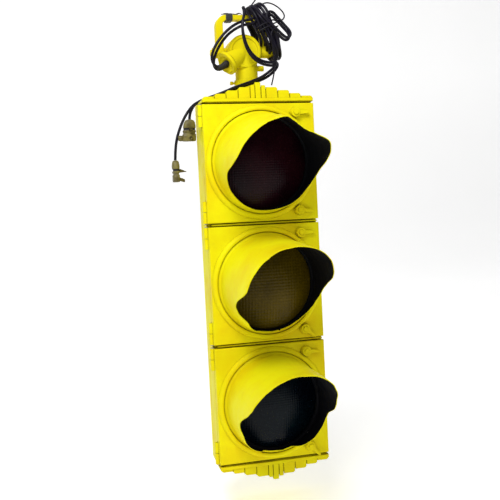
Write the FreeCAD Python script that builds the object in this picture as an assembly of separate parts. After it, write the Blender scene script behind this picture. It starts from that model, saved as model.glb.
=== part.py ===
import FreeCAD, Part
import math
import os

# Three-section road traffic signal head on a bail hanger. All sizes are in millimetres.
# Axes: +X to the right of a viewer who faces the lenses, +Y away from that viewer, +Z up.
# The shapes are built about the centre of the middle door's front face, and are moved at the
# end so that the origin is the centre of the bolt hole in the bail, from which the head hangs.

V = FreeCAD.Vector

# Sections
PITCH = 254.0
SECTIONS = {"top": PITCH, "middle": 0.0, "bottom": -PITCH}
WALL = 4.0

# Housings: a box with drafted sides, open at the front
HOUSING_HALF = 120.5
HOUSING_FRONT = 17.5
HOUSING_BACK = 135.0
HOUSING_DRAFT = math.radians(4.5)
HOUSING_CORNER = 22.0
LIP_THICK = 1.5
LIP_FRONT = 5.0
WIRE_HOLE_R = 30.0
WIRE_HOLE_Y = 80.0
SECTION_BOLTS = [(-98.0, 42.0), (98.0, 42.0), (-90.0, 110.0), (90.0, 110.0)]
BOLT_R = 3.0

# Doors
DOOR_HALF = 120.5
DOOR_HALF_HEIGHT = 123.0
DOOR_DEPTH = 16.0
FACE = 4.0
LENS_OPENING_R = 99.0
BEZEL_INNER_R = 108.5
BEZEL_OUTER_R = 119.0
BEZEL_FRONT = -8.0

# Door hinges: two knuckle pairs on a vertical axis at the left edge
HINGE_X = -121.5
HINGE_Y = 16.75
KNUCKLE_R = 6.0
KNUCKLE_GAP = 0.4
PIN_R = 2.5
PIN_HEAD_R = 4.0
RUNNING = 0.05
KNUCKLE_END = 123.0
KNUCKLE_SPLIT = 100.0
KNUCKLE_START = 77.0

# Latches: a thumb lever outside, a tongue inside and a catch on the housing wall
LATCH_X = 78.0
LATCH_Z = 103.0
LATCH_SHAFT_R = 4.0
LATCH_BOSS_R = 10.0
LEVER_LENGTH = 29.0
TONGUE_LENGTH = 35.0
TONGUE_Y = 23.0
CATCH_EDGE = 109.5
LATCH_ANGLES = {"top_upper": 0.0, "top_lower": 6.0, "middle_upper": 0.0,
                "middle_lower": 38.0, "bottom_upper": 5.0, "bottom_lower": 46.0}
# An upper lever turns only half as far as a lower one, to leave its neighbour room, so its tongue
# starts half way to the catch
UPPER_TONGUE_START = 45.0

# Visors: a tapered tube whose lower half is cut away along an S-shaped edge
VISOR_BASE_R = 102.5
VISOR_MOUTH_R = 97.5
VISOR_LENGTH = 190.0
VISOR_SHEET = 1.5
VISOR_FLANGE_R = 107.8
VISOR_SCREW_R = 105.2
# Points of the cut edge, seen from the side: distance in front of the door, height
VISOR_EDGE = [(190.0, 30.0), (168.0, 8.0), (132.0, -10.0), (100.0, -26.0), (80.0, -45.0),
              (58.0, -72.0), (30.0, -94.0), (16.0, -101.0)]

# Lenses, reflectors and lamps
LENS_R = 106.0
LENS_DOME = 20.0
LENS_GLASS = 4.0
SEAT = 2.0
REFLECTOR_R = 94.0
REFLECTOR_RIM_R = 100.0
REFLECTOR_FRONT = 34.0
REFLECTOR_DEPTH = 68.0
SOCKET_R = 17.0
LAMP_R = 30.0

# End caps: a low roof behind a fluted crest
CAP_BASE = 1.5 * PITCH
RIM_HEIGHT = 7.0
CREST_FRONT = 1.0
CREST_BACK = 9.0
ROOF = [(120.5, 386.0), (94.0, 392.5), (69.0, 397.5), (43.0, 403.0), (17.0, 408.0)]
# Crest panels: inner edge, outer edge, top
CREST_PANELS = [(6.5, 17.0, 415.0), (17.0, 43.0, 411.0), (43.0, 69.0, 404.5),
                (69.0, 94.0, 398.0), (94.0, 119.5, 392.5)]
CREST_TOP = 421.0
FLUTE = 1.6
HUB_TOP = 414.0
HUB_THICK = 18.0
HUB_R = 34.0

# Hanger: a hollow casting with a threaded neck, an angled cord entry and a pivoting bail
NECK_X = -2.0
NECK_Y = 80.0
NECK_R = 24.3
NECK_BORE_R = 19.5
NECK_FOOT = 384.0
DRUM_X = -9.0
DRUM_Z = 496.0
DRUM_R = 37.0
DRUM_HALF = 23.0
DRUM_WALL = 4.0
ENTRY_MOUTH = V(-53.0, 54.0, 468.8)
ENTRY_AXIS = V(-0.807, -0.202, -0.555)
ENTRY_R = 26.0
ENTRY_BORE_R = 19.0
PIVOT_Z = 497.0
PIVOT_R = 6.0
BAIL_LEFT = -67.0
BAIL_RIGHT = 47.0
BAIL_ARM = 15.0
BAIL_HALF = 10.0
BAIL_END_R = 11.0
BAIL_TOP = 577.0
BAIL_BAR = 10.5
BAIL_EYE = V(-14.0, NECK_Y, BAIL_TOP - BAIL_BAR / 2)
BAIL_EYE_R = 6.5

# Cords
CORD_D = 6.0
WIRE_D = 3.0
HANK_TOP = V(14.0, NECK_Y, 599.0)
HANK_LEAN = math.radians(22.0)
HANK_LENGTH = 130.0
HANK_ROUND = 36.5
HANK_THICK = 9.0
HANK_BAND = 42.0

LEAD_1 = [(-59.0, 49.2, 465.9), (-67.5, 47.0, 461.0), (-77.5, 44.5, 461.5), (-85.0, 42.0, 469.5),
          (-87.0, 39.5, 481.0), (-84.0, 37.0, 492.0), (-77.0, 35.0, 506.5), (-66.0, 34.5, 520.5),
          (-53.5, 35.5, 534.0), (-36.0, 39.0, 547.5), (-18.0, 44.0, 556.5), (2.0, 48.5, 562.0)]
LEAD_2 = [(-59.0, 56.2, 463.5), (-66.5, 55.2, 457.5), (-76.0, 53.5, 457.5), (-81.0, 51.0, 466.5),
          (-80.0, 47.5, 479.0), (-75.0, 44.5, 492.5), (-67.5, 43.5, 506.0), (-57.5, 43.0, 519.0),
          (-46.5, 43.0, 530.5), (-30.5, 44.5, 541.5), (-14.0, 46.5, 549.5), (5.5, 49.0, 553.5)]
TAIL_1 = [(57.5, 47.0, 476.0), (50.5, 45.5, 462.5), (38.0, 43.5, 450.5), (22.0, 41.0, 442.0),
          (3.0, 38.0, 435.0), (-18.0, 35.0, 428.0), (-40.0, 33.0, 421.5), (-62.0, 34.5, 415.0),
          (-82.0, 39.5, 408.0), (-100.0, 48.0, 401.0), (-114.0, 58.5, 394.0), (-123.0, 66.0, 387.0),
          (-128.5, 70.0, 376.5), (-134.5, 72.5, 366.0), (-136.0, 73.0, 355.4)]
TAIL_2 = [(64.0, 50.0, 476.0), (57.5, 50.5, 459.5), (44.5, 50.0, 445.0), (27.5, 48.0, 435.5),
          (7.0, 45.0, 428.5), (-14.5, 42.0, 421.5), (-36.5, 40.5, 415.0), (-58.5, 42.5, 409.0),
          (-79.0, 48.0, 403.5), (-97.5, 57.0, 398.5), (-112.5, 66.5, 393.5), (-124.0, 73.5, 386.5),
          (-135.0, 77.0, 373.0), (-146.5, 77.5, 355.0), (-155.5, 77.5, 335.5), (-162.0, 77.0, 315.5),
          (-166.0, 76.5, 294.5), (-167.5, 76.0, 272.4)]
FRONT_LOOP = [(-19.0, 32.5, 550.0), (-18.5, 32.0, 527.5), (-13.0, 33.0, 504.0), (-1.5, 35.0, 484.0),
              (16.0, 37.0, 471.5), (35.0, 38.5, 470.5), (48.5, 40.5, 480.5)]
SIDE_LOOP = [(48.0, 48.6, 583.0), (56.0, 47.0, 574.5), (68.0, 44.5, 560.5), (79.5, 41.5, 545.0),
             (88.5, 39.5, 529.5), (89.5, 38.5, 517.5), (80.5, 38.0, 513.0), (70.0, 37.5, 522.5),
             (61.0, 37.5, 535.5), (53.5, 38.0, 550.0)]
FRONT_LOOP_D = 13.0
SIDE_LOOP_D = 9.0
WIRE_LOOP = [(38.5, 66.0, 601.0), (49.0, 59.5, 602.0), (63.5, 54.0, 594.5), (75.5, 50.0, 583.0),
             (82.0, 49.0, 571.0), (77.0, 50.0, 562.5), (67.0, 52.5, 563.0), (57.0, 54.5, 568.5)]
WIRE_DROP = [(51.0, 36.5, 469.5), (49.5, 36.5, 455.0), (46.0, 36.5, 439.0), (41.0, 37.5, 420.5)]

# Plugs: body centre, and the direction in which the blades point
PLUG_WIDTH = 28.0
PLUG_HEIGHT = 46.0
PLUG_THICK = 15.0
PLUG_1_TOP = V(-136.0, 73.0, 355.0)
PLUG_2_TOP = V(-167.5, 76.0, 272.0)

SHAPES = {}


# ---- Basic shapes ----

def box(x0, x1, y0, y1, z0, z1):
    return Part.makeBox(x1 - x0, y1 - y0, z1 - z0, V(x0, y0, z0))


def rod(start, axis, radius, length):
    return Part.makeCylinder(radius, length, start, axis)


def tube(start, axis, outer, inner, length):
    return rod(start, axis, outer, length).cut(rod(start, axis, inner, length))


def outline(points):
    """A closed face. A point is a vector, or a pair (middle, end) for an arc."""
    edges = []
    here = points[0]
    for item in points[1:] + [points[0]]:
        if isinstance(item, tuple):
            edges.append(Part.Arc(here, item[0], item[1]).toShape())
            here = item[1]
        else:
            edges.append(Part.LineSegment(here, item).toShape())
            here = item
    return Part.Face(Part.Wire(edges))


def turned(points, z):
    """A solid of revolution about the optical axis at height z, from (radius, y) points."""
    lifted = []
    for item in points:
        if isinstance(item[0], tuple):
            lifted.append((V(item[0][0], item[0][1], 0), V(item[1][0], item[1][1], 0)))
        else:
            lifted.append(V(item[0], item[1], 0))
    shape = outline(lifted).revolve(V(0, 0, 0), V(0, 1, 0), 360)
    shape.translate(V(0, 0, z))
    return shape


def fused(first, others):
    return first.fuse(others).removeSplitter()


def hex_prism(centre, axis, across, length):
    """A hexagonal nut or head, one flat across-size wide, along X, Y or Z."""
    radius = across / math.sqrt(3)
    corners = [V(radius * math.cos(math.radians(60 * i)), radius * math.sin(math.radians(60 * i)), 0)
               for i in range(6)]
    shape = outline(corners).extrude(V(0, 0, length))
    shape.Placement = FreeCAD.Placement(centre, FreeCAD.Rotation(V(0, 0, 1), axis))
    return shape


def around(count, start_angle, radius):
    """Points (x, z) spaced evenly round the optical axis."""
    angles = [math.radians(start_angle + 360.0 * i / count) for i in range(count)]
    return [(radius * math.cos(a), radius * math.sin(a)) for a in angles]


# ---- Housings ----

def side(y):
    """Half of the housing's outer width at depth y."""
    return HOUSING_HALF - (y - HOUSING_FRONT) * math.tan(HOUSING_DRAFT)


def plan(inset, front, z0, z1):
    """The housing's plan shape as a prism, inset all round, with rounded back corners."""
    back = HOUSING_BACK - inset
    corners = [V(-side(front) + inset, front, z0), V(side(front) - inset, front, z0),
               V(side(back) - inset, back, z0), V(-side(back) + inset, back, z0)]
    prism = outline(corners).extrude(V(0, 0, z1 - z0))
    uprights = [e for e in prism.Edges
                if abs(e.tangentAt(e.FirstParameter).z) > 0.9 and e.CenterOfMass.y > back - 1]
    return prism.makeFillet(HOUSING_CORNER - inset, uprights)


def knuckle(z0, z1, z, radius=KNUCKLE_R):
    return rod(V(HINGE_X, HINGE_Y, z + z0), V(0, 0, 1), radius, z1 - z0)


def housing(z):
    half = PITCH / 2
    shell = plan(0, HOUSING_FRONT, z - half, z + half)
    shell = shell.cut(plan(WALL, HOUSING_FRONT - 1, z - half + WALL, z + half - WALL))
    extras = []
    for lip in (half - LIP_THICK, -half):
        extras.append(box(-112, 118, LIP_FRONT, HOUSING_FRONT + 1, z + lip, z + lip + LIP_THICK))
    extras.append(knuckle(KNUCKLE_SPLIT, KNUCKLE_END, z))
    extras.append(knuckle(-KNUCKLE_END, -KNUCKLE_SPLIT, z))
    for end in (-1, 1):
        middle = z + end * LATCH_Z
        extras.append(box(CATCH_EDGE, 118, 18.5, 22, middle - 8, middle + 8))
    for x0, x1 in ((-116, -102), (102, 116)):
        extras.append(box(x0, x1, REFLECTOR_FRONT + 1.5, REFLECTOR_FRONT + 12, z - 8, z + 8))
    shell = fused(shell, extras)
    gaps = [knuckle(KNUCKLE_START - KNUCKLE_GAP, KNUCKLE_SPLIT - KNUCKLE_GAP, z, KNUCKLE_R + KNUCKLE_GAP),
            knuckle(-KNUCKLE_SPLIT + KNUCKLE_GAP, -KNUCKLE_START + KNUCKLE_GAP, z,
                    KNUCKLE_R + KNUCKLE_GAP),
            knuckle(-KNUCKLE_END, -KNUCKLE_START, z, PIN_R),
            knuckle(KNUCKLE_START, KNUCKLE_END, z, PIN_R),
            knuckle(-half, -KNUCKLE_END, z, PIN_HEAD_R + KNUCKLE_GAP),
            knuckle(KNUCKLE_END, half, z, PIN_HEAD_R + KNUCKLE_GAP)]
    for start in (-half, half - WALL):
        gaps.append(rod(V(0, WIRE_HOLE_Y, z + start), V(0, 0, 1), WIRE_HOLE_R, WALL))
        gaps += [rod(V(x, y, z + start), V(0, 0, 1), BOLT_R, WALL) for x, y in SECTION_BOLTS]
    for x in (-107, 107):
        gaps.append(rod(V(x, REFLECTOR_FRONT + 1.5, z), V(0, 1, 0), 1.5, 8))
    return shell.cut(gaps)


def section_joint(z):
    """Four bolts and nuts through the two walls that meet at height z."""
    bolts = []
    nuts = []
    for x, y in SECTION_BOLTS:
        head = hex_prism(V(x, y, z - WALL - 4), V(0, 0, 1), 10, 4)
        shank = rod(V(x, y, z - WALL), V(0, 0, 1), BOLT_R, 2 * WALL + 8)
        bolts.append(head.fuse(shank))
        nut = hex_prism(V(x, y, z + WALL), V(0, 0, 1), 10, 5)
        nuts.append(nut.cut(rod(V(x, y, z + WALL), V(0, 0, 1), BOLT_R, 5)))
    return bolts, nuts


def cap_bolts():
    bolts = []
    for x, y in SECTION_BOLTS:
        for end in (-1, 1):
            up = V(0, 0, end)
            head = hex_prism(V(x, y, end * (CAP_BASE - WALL - 4)), up, 10, 4)
            shank = rod(V(x, y, end * (CAP_BASE - WALL)), up, BOLT_R, WALL + 6)
            bolts.append(head.fuse(shank))
    return bolts


def hinge_pins(z):
    """Two pins: each fills the housing's knuckle and runs in the door's."""
    pins = []
    for end in (-1, 1):
        up = V(0, 0, end)
        pin = rod(V(HINGE_X, HINGE_Y, z + end * (KNUCKLE_START + 1)), up, PIN_R,
                  KNUCKLE_END - KNUCKLE_START - 1)
        head = rod(V(HINGE_X, HINGE_Y, z + end * KNUCKLE_END), up, PIN_HEAD_R, 1.8)
        pins.append(pin.fuse(head))
    return pins


def wire_grommet(z):
    """A rubber ring that lines the wire hole where two sections meet."""
    start = V(0, WIRE_HOLE_Y, z - WALL)
    ring = rod(start, V(0, 0, 1), WIRE_HOLE_R, 2 * WALL)
    for offset in (-3, 2 * WALL):
        ring = ring.fuse(rod(start + V(0, 0, offset), V(0, 0, 1), WIRE_HOLE_R + 4, 3))
    return ring.cut(rod(start + V(0, 0, -3), V(0, 0, 1), WIRE_HOLE_R - 3, 2 * WALL + 6))


# ---- End caps ----

def crest_panel(inner, outer, top, foot):
    """One flute of the crest, its outer top corner rounded. Negative edges mirror it."""
    turn = 5.0 if abs(outer - inner) > 12 else 2.5
    way = 1 if outer > inner else -1
    edge = outer - way * FLUTE / 2
    near = inner + way * FLUTE / 2
    bend = 0.29 * turn
    return outline([
        V(near, CREST_FRONT, foot), V(edge, CREST_FRONT, foot), V(edge, CREST_FRONT, top - turn),
        (V(edge - way * bend, CREST_FRONT, top - bend), V(edge - way * turn, CREST_FRONT, top)),
        V(near, CREST_FRONT, top)]).extrude(V(0, 3.5, 0))


def roof(inset, z0):
    """The roof's cross-section between the crest and the back, above height z0."""
    right = [V(x, CREST_FRONT + 3, z - inset) for x, z in ROOF]
    left = [V(-p.x, p.y, p.z) for p in reversed(right)]
    foot = [V(-ROOF[0][0], CREST_FRONT + 3, z0), V(ROOF[0][0], CREST_FRONT + 3, z0)]
    ridge = outline(foot + right + left).extrude(V(0, HOUSING_BACK, 0))
    return ridge.common(plan(inset, CREST_FRONT + 3 + inset, z0, CREST_TOP))


def end_cap():
    """The top cap. The bottom one is its mirror image."""
    cap = roof(0, CAP_BASE)
    backing = []
    ribs = []
    for way in (-1, 1):
        for inner, outer, top in CREST_PANELS:
            ribs.append(crest_panel(way * inner, way * outer, top, CAP_BASE + RIM_HEIGHT - 1))
            low, high = sorted((way * inner, way * outer))
            backing.append(box(low, high, CREST_FRONT + 2.5, CREST_BACK, CAP_BASE, top - 3))
    backing.append(box(-6.5, 6.5, CREST_FRONT + 2.5, CREST_BACK, CAP_BASE, CREST_TOP - 2))
    ribs.append(box(-6.5 + FLUTE / 2, 6.5 - FLUTE / 2, CREST_FRONT, CREST_BACK,
                    CAP_BASE + RIM_HEIGHT - 1, CREST_TOP))
    ribs.append(box(-119.5, 119.5, CREST_FRONT - 2, CREST_BACK, CAP_BASE + 0.5, CAP_BASE + RIM_HEIGHT))
    hub = rod(V(NECK_X, NECK_Y, HUB_TOP - HUB_THICK), V(0, 0, 1), HUB_R, HUB_THICK)
    cap = fused(cap, backing + ribs + [hub])
    cap = cap.cut(roof(5, CAP_BASE - 1).cut(hub))
    bosses = [rod(V(x, y, CAP_BASE), V(0, 0, 1), 7, 9) for x, y in SECTION_BOLTS]
    cap = fused(cap, [b.common(roof(0, CAP_BASE)) for b in bosses])
    holes = [rod(V(x, y, CAP_BASE), V(0, 0, 1), BOLT_R, 6) for x, y in SECTION_BOLTS]
    holes.append(rod(V(NECK_X, NECK_Y, CAP_BASE), V(0, 0, 1), NECK_R, 60))
    return cap.cut(holes)


def hub_plug():
    """The threaded plug that closes the bottom cap's pipe hole, with its locknut ledge."""
    start = V(NECK_X, NECK_Y, -HUB_TOP - 6)
    plug = rod(start, V(0, 0, 1), NECK_R + 8, 6)
    plug = plug.fuse(rod(start, V(0, 0, 1), NECK_R, 6 + HUB_THICK))
    slot = box(NECK_X - 18, NECK_X + 18, NECK_Y - 2, NECK_Y + 2, -HUB_TOP - 6, -HUB_TOP - 3)
    return plug.cut(slot)


# ---- Doors and what they carry ----

def door(z):
    frame = box(-DOOR_HALF, DOOR_HALF, 0, DOOR_DEPTH, z - DOOR_HALF_HEIGHT, z + DOOR_HALF_HEIGHT)
    rim = [e for e in frame.Edges if e.BoundBox.YMax < 0.01]
    frame = frame.makeFillet(2.0, rim)
    inner = box(-DOOR_HALF + WALL, DOOR_HALF - WALL, FACE, DOOR_DEPTH,
                z - DOOR_HALF_HEIGHT + WALL, z + DOOR_HALF_HEIGHT - WALL)
    frame = frame.cut(inner)
    bezel = turned([(BEZEL_INNER_R, FACE - 1), (BEZEL_INNER_R, BEZEL_FRONT + 1.5),
                    ((BEZEL_INNER_R + 1.5, BEZEL_FRONT + 0.3), (BEZEL_INNER_R + 4, BEZEL_FRONT)),
                    ((BEZEL_OUTER_R - 2.5, BEZEL_FRONT + 2), (BEZEL_OUTER_R, -0.5)),
                    (BEZEL_OUTER_R, FACE - 1)], z)
    extras = [bezel]
    for end in (-1, 1):
        pad = rod(V(LATCH_X, -2, z + end * LATCH_Z), V(0, 1, 0), LATCH_BOSS_R + 1.5, 4)
        extras.append(pad)
        extras.append(rod(V(LATCH_X, 2, z + end * LATCH_Z), V(0, 1, 0), LATCH_BOSS_R, 10))
    extras += [rod(V(x, 2, z + dz), V(0, 1, 0), 4.5, 8) for x, dz in around(4, 20, LENS_R + 5)]
    extras.append(knuckle(KNUCKLE_START, KNUCKLE_SPLIT - 2 * KNUCKLE_GAP, z))
    extras.append(knuckle(-KNUCKLE_SPLIT + 2 * KNUCKLE_GAP, -KNUCKLE_START, z))
    frame = fused(frame, extras)
    gaps = [rod(V(0, BEZEL_FRONT - 1, z), V(0, 1, 0), LENS_OPENING_R, 20),
            knuckle(KNUCKLE_SPLIT - 2 * KNUCKLE_GAP, KNUCKLE_END + 1, z, KNUCKLE_R + KNUCKLE_GAP),
            knuckle(-KNUCKLE_END - 1, -KNUCKLE_SPLIT + 2 * KNUCKLE_GAP, z, KNUCKLE_R + KNUCKLE_GAP),
            knuckle(KNUCKLE_START, KNUCKLE_SPLIT, z, PIN_R + RUNNING),
            knuckle(-KNUCKLE_SPLIT, -KNUCKLE_START, z, PIN_R + RUNNING)]
    for end in (-1, 1):
        gaps.append(rod(V(LATCH_X, -3, z + end * LATCH_Z), V(0, 1, 0), LATCH_SHAFT_R + RUNNING, 20))
    gaps += [rod(V(x, 3, z + dz), V(0, 1, 0), 1.5, 8) for x, dz in around(4, 20, LENS_R + 5)]
    gaps += [rod(V(x, -1, z + dz), V(0, 1, 0), 1.2, 4) for x, dz in around(4, 45, VISOR_SCREW_R)]
    return frame.cut(gaps)


def door_seals(z):
    """The lens gasket and the strip between the door's skirt and the housing."""
    gasket = tube(V(0, FACE, z), V(0, 1, 0), LENS_R, LENS_OPENING_R, SEAT)
    half_w = DOOR_HALF - 1
    half_h = DOOR_HALF_HEIGHT - 1
    strip = box(-half_w, half_w, DOOR_DEPTH, DOOR_DEPTH + 1.1, z - half_h, z + half_h)
    strip = strip.cut(box(-half_w + 3, half_w - 3, DOOR_DEPTH, DOOR_DEPTH + 1.1,
                          z - half_h + 3, z + half_h - 3))
    corner = [knuckle(-KNUCKLE_END - 1, -KNUCKLE_START + 1, z, KNUCKLE_R + 1),
              knuckle(KNUCKLE_START - 1, KNUCKLE_END + 1, z, KNUCKLE_R + 1)]
    return [gasket, strip.cut(corner)]


def dome(radius, height, top):
    """Half-way point and edge of a shallow dome's arc, from its top on the axis."""
    curve = (radius ** 2 + height ** 2) / (2 * height)
    half = math.asin(radius / curve) / 2
    return (curve * math.sin(half), top + curve * (1 - math.cos(half))), (radius, top + height)


def lens(z):
    """A domed glass lens with a flat edge flange."""
    edge = LENS_OPENING_R - 1
    front = FACE + SEAT
    outer = dome(edge, LENS_DOME, front - LENS_DOME)
    inner = dome(edge - 3, LENS_DOME - 1, front - LENS_DOME + LENS_GLASS + 1)
    solid = turned([(0, front - LENS_DOME), outer, (LENS_R, front), (LENS_R, front + LENS_GLASS),
                    (0, front + LENS_GLASS)], z)
    hollow = turned([(0, front - LENS_DOME + LENS_GLASS + 1), inner, (0, front + LENS_GLASS)], z)
    return solid.cut(hollow)


def lens_clips(z):
    clips = []
    for x, dz in around(4, 20, LENS_R + 5):
        angle = math.degrees(math.atan2(dz, x))
        clip = box(-11, 5, FACE + 6, FACE + 7.5, -5, 5)
        clip = clip.cut(rod(V(0, FACE, 0), V(0, 1, 0), 1.5, 10))
        clip.rotate(V(0, 0, 0), V(0, 1, 0), -angle)
        clip.translate(V(x, 0, z + dz))
        clips.append(clip)
    return clips


def screw(point, axis, shank, length, head, head_height):
    """A round-headed screw: its head starts at the point and its shank follows the axis."""
    stem = rod(point, axis, shank, length)
    cap = rod(point - axis * head_height, axis, head, head_height)
    return stem.fuse(cap)


def door_screws(z):
    front = [screw(V(x, -VISOR_SHEET, z + dz), V(0, 1, 0), 1.2, 4, 2.3, 1.6)
             for x, dz in around(4, 45, VISOR_SCREW_R)]
    back = [screw(V(x, FACE + 7.5, z + dz), V(0, -1, 0), 1.5, 7, 3.0, 2.0)
            for x, dz in around(4, 20, LENS_R + 5)]
    return front + back


def visor(z):
    """The tapered sheet tube, its flange, and the lower half cut away."""
    base = VISOR_BASE_R
    mouth = VISOR_MOUTH_R
    sheet = turned([(base - VISOR_SHEET, 0), (base, 0), (mouth, -VISOR_LENGTH),
                    (mouth - VISOR_SHEET, -VISOR_LENGTH)], z)
    flange = tube(V(0, -VISOR_SHEET, z), V(0, 1, 0), VISOR_FLANGE_R, base - VISOR_SHEET, VISOR_SHEET)
    edge = Part.BSplineCurve()
    edge.interpolate([V(-200, -y, z + h) for y, h in VISOR_EDGE])
    first = VISOR_EDGE[0]
    last = VISOR_EDGE[-1]
    corners = [V(-200, -last[0], z + last[1]), V(-200, -last[0], z - 200),
               V(-200, -250, z - 200), V(-200, -250, z + first[1]), V(-200, -first[0], z + first[1])]
    lines = [Part.LineSegment(a, b).toShape() for a, b in zip(corners, corners[1:])]
    cutter = Part.Face(Part.Wire([edge.toShape()] + lines)).extrude(V(400, 0, 0))
    holes = [rod(V(x, -VISOR_SHEET, z + dz), V(0, 1, 0), 1.2, 4) for x, dz in around(4, 45, VISOR_SCREW_R)]
    return sheet.fuse(flange).removeSplitter().cut([cutter] + holes)


def latch(z, end, angle):
    """A thumb lever with its shaft, and the tongue that the shaft turns."""
    lever = rod(V(0, -10, 0), V(0, 1, 0), LATCH_BOSS_R, 7.9)
    nose = rod(V(LEVER_LENGTH - 3, -9, 0), V(0, 1, 0), 3, 5.5)
    blade = outline([V(0, -9, 5), V(0, -9, -5), V(LEVER_LENGTH - 3, -9, -3),
                     V(LEVER_LENGTH - 3, -9, 3)]).extrude(V(0, 5.5, 0))
    dome = rod(V(0, -12.5, 0), V(0, 1, 0), 5.5, 3)
    shaft = rod(V(0, -3, 0), V(0, 1, 0), LATCH_SHAFT_R, TONGUE_Y + 10)
    handle = fused(lever, [nose, blade, dome, shaft])
    tongue = rod(V(0, TONGUE_Y, 0), V(0, 1, 0), 9, 4)
    tongue = tongue.fuse(box(-4.5, 4.5, TONGUE_Y, TONGUE_Y + 4, -end * TONGUE_LENGTH if end > 0 else 0,
                             0 if end > 0 else TONGUE_LENGTH))
    tongue = tongue.cut(rod(V(0, TONGUE_Y, 0), V(0, 1, 0), LATCH_SHAFT_R, 4))
    if end > 0:
        tongue.rotate(V(0, 0, 0), V(0, 1, 0), -UPPER_TONGUE_START)
    parts = [handle, tongue]
    for piece in parts:
        piece.rotate(V(0, 0, 0), V(0, 1, 0), angle)
        piece.translate(V(LATCH_X, 0, z + end * LATCH_Z))
    return parts


# ---- Inside each section ----

def reflector(z):
    """A deep spun bowl with a flat rim and a hole for the lamp."""
    front = REFLECTOR_FRONT
    neck = SOCKET_R + 5
    back = front + REFLECTOR_DEPTH
    return turned([(REFLECTOR_RIM_R, front), (REFLECTOR_RIM_R, front + 1.5), (REFLECTOR_R, front + 1.5),
                   ((0.72 * REFLECTOR_R, front + 0.62 * REFLECTOR_DEPTH), (neck, back)),
                   (neck, back - 1.6),
                   ((0.72 * REFLECTOR_R - 1, front + 0.62 * REFLECTOR_DEPTH - 1.4),
                    (REFLECTOR_R - 1.5, front))], z)


def reflector_clips(z):
    clips = []
    for way in (-1, 1):
        low, high = sorted((way * 96.0, way * 113.0))
        clip = box(low, high, REFLECTOR_FRONT - 1.5, REFLECTOR_FRONT, z - 6, z + 6)
        low, high = sorted((way * (REFLECTOR_RIM_R + 0.5), way * 113.0))
        clip = clip.fuse(box(low, high, REFLECTOR_FRONT, REFLECTOR_FRONT + 1.5, z - 6, z + 6))
        clips.append(clip.cut(rod(V(way * 107, 30, z), V(0, 1, 0), 1.5, 8)))
    return clips


def inner_screws(z):
    return [screw(V(x, REFLECTOR_FRONT - 1.5, z), V(0, 1, 0), 1.5, 10, 3.0, 2.0) for x in (-107, 107)]


def socket(z):
    """A porcelain lamp holder that stands on the back wall."""
    back = HOUSING_BACK - WALL
    body = rod(V(0, back - 31, z), V(0, 1, 0), SOCKET_R, 31)
    body = body.fuse(rod(V(0, back - 5, z), V(0, 1, 0), SOCKET_R + 7, 5))
    return body.cut(rod(V(0, back - 31, z), V(0, 1, 0), 13.2, 24))


def lamp(z):
    """A clear signal lamp: screw base, neck and bulb."""
    seat = HOUSING_BACK - WALL - 7
    base = rod(V(0, seat, z), V(0, -1, 0), 13, 26)
    neck = Part.makeCone(13, 21, 22, V(0, seat - 26, z), V(0, -1, 0))
    bulb = Part.makeSphere(LAMP_R, V(0, seat - 64, z))
    return fused(base, [neck, bulb])


def terminal_block():
    """A moulded block on the ceiling of the top section, with six slots."""
    top = CAP_BASE - WALL
    block = box(-100, -44, 58, 82, top - 16, top)
    slots = [box(-98 + 9 * i, -92 + 9 * i, 58, 82, top - 16, top - 10) for i in range(6)]
    holes = [rod(point, V(0, 0, 1), 1.5, 8) for point in terminals()]
    return block.cut(slots + holes)


def terminals():
    """Where the terminal block's screws enter it."""
    return [V(-95 + 9 * i, y, CAP_BASE - WALL - 10) for i in range(6) for y in (64, 76)]


def terminal_screws():
    return [screw(point, V(0, 0, 1), 1.5, 8, 2.6, 1.8) for point in terminals()]


# ---- Hanger ----

def entry_throat(radius, end_radius):
    """A slanted tube from the entry's mouth to the middle of the drum."""
    middle = V(DRUM_X, NECK_Y, DRUM_Z)
    mouth = Part.Wire(Part.makeCircle(radius, ENTRY_MOUTH - ENTRY_AXIS * 3, ENTRY_AXIS))
    inner = Part.Wire(Part.makeCircle(end_radius, middle, ENTRY_MOUTH - middle))
    return Part.makeLoft([mouth, inner], True, True)


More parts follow.
